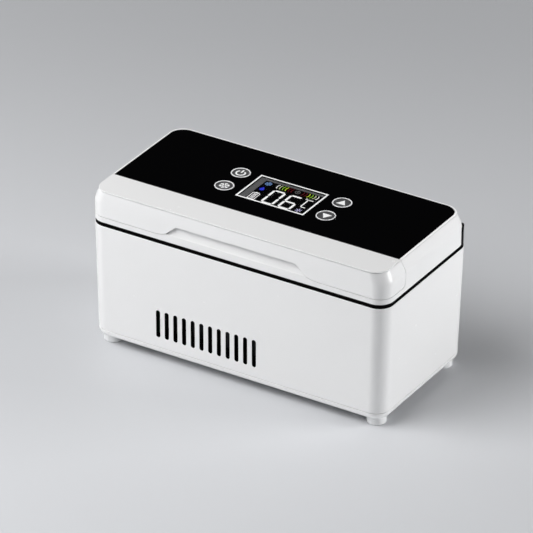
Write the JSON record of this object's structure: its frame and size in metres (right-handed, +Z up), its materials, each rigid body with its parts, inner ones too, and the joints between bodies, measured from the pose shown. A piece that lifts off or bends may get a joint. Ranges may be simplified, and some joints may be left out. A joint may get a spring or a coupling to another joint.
{
  "type": "insulin cooling case",
  "caption": "Oblong white cold box for insulin pens: hinged lid with a black display panel, round keys and a finger pull, vent slots, short clear feet and a thermoelectric cooler inside.",
  "frame": {"origin": "middle of the footprint on the plane the feet stand on", "axes": "+X along the length to the right seen from the front, +Y to the hinge at the rear, +Z up"},
  "size_m": [0.2, 0.098, 0.1033],
  "materials": {
    "white_abs": "satin gloss moulded shell",
    "black_acrylic": "polished sheet",
    "black_plastic": "fine matt moulding",
    "clear_plastic": "milky clear moulding",
    "trim_white": "gloss",
    "key_grey": "satin",
    "display_glass": "clear window",
    "display_dark": "dark segment panel",
    "aluminium": "brushed",
    "black_anodised": "black anodised",
    "steel": "bright",
    "foam": "expanded foam",
    "ceramic": "fired ceramic",
    "circuit_board": "solder mask",
    "cell_wrap": "shrink film",
    "silicone": "soft silicone"
  },
  "bodies": {
    "case": {"body_shell": "white_abs", "base_cover": "white_abs", "foot_front_left": "clear_plastic", "foot_front_right": "clear_plastic", "foot_rear_left": "clear_plastic", "foot_rear_right": "clear_plastic", "base_screw_front_left": "steel", "base_screw_front_right": "steel", "base_screw_rear_left": "steel", "base_screw_rear_right": "steel", "hinge_frame": "black_plastic", "hinge_pin_left": "steel", "hinge_pin_right": "steel", "frame_magnet_left": "steel", "frame_magnet_right": "steel", "chamber_collar": "white_abs", "cold_liner": "aluminium", "insulation_tub": "foam", "temperature_sensor": "black_plastic", "cold_block": "aluminium", "peltier_module": "ceramic", "heat_sink": "black_anodised", "fan_frame": "black_plastic", "battery_cradle": "black_plastic", "battery_cell_front": "cell_wrap", "battery_cell_middle": "cell_wrap", "battery_cell_rear": "cell_wrap", "main_board": "circuit_board", "dc_jack": "black_plastic"},
    "lid": {"lid_shell": "white_abs", "lid_visor": "white_abs", "top_panel": "black_acrylic", "display_bezel": "trim_white", "display_lens": "display_glass", "lcd_module": "display_dark", "key_switch_power": "black_plastic", "key_switch_mode": "black_plastic", "key_switch_up": "black_plastic", "key_switch_down": "black_plastic", "control_board": "circuit_board", "lid_insulation": "foam", "lid_liner": "white_abs", "lid_gasket": "silicone", "lid_magnet_left": "steel", "lid_magnet_right": "steel", "lid_screw_front_left": "steel", "lid_screw_front_right": "steel", "lid_screw_rear_left": "steel", "lid_screw_rear_right": "steel"},
    "rotor": {"fan_rotor": "black_plastic"},
    "power_key": {"key_power": "key_grey"},
    "mode_key": {"key_mode": "key_grey"},
    "up_key": {"key_up": "key_grey"},
    "down_key": {"key_down": "key_grey"}
  },
  "joints": [
    {"name": "lid_hinge", "type": "hinge", "parent": "case", "child": "lid", "pos_m": [0, 0.0448, 0.089], "axis": [-1, 0, 0], "range_deg": [0, 92]},
    {"name": "fan_spin", "type": "hinge", "parent": "case", "child": "rotor", "pos_m": [-0.02, 0, 0.0126], "axis": [0, 0, 1], "continuous": true},
    {"name": "power_press", "type": "slide", "parent": "lid", "child": "power_key", "axis": [0, 0, -1], "range_m": [0, 0.0006], "stiffness_N_per_m": 1200, "springref_m": -0.0004},
    {"name": "mode_press", "type": "slide", "parent": "lid", "child": "mode_key", "axis": [0, 0, -1], "range_m": [0, 0.0006], "stiffness_N_per_m": 1200, "springref_m": -0.0004},
    {"name": "up_press", "type": "slide", "parent": "lid", "child": "up_key", "axis": [0, 0, -1], "range_m": [0, 0.0006], "stiffness_N_per_m": 1200, "springref_m": -0.0004},
    {"name": "down_press", "type": "slide", "parent": "lid", "child": "down_key", "axis": [0, 0, -1], "range_m": [0, 0.0006], "stiffness_N_per_m": 1200, "springref_m": -0.0004}
  ]
}
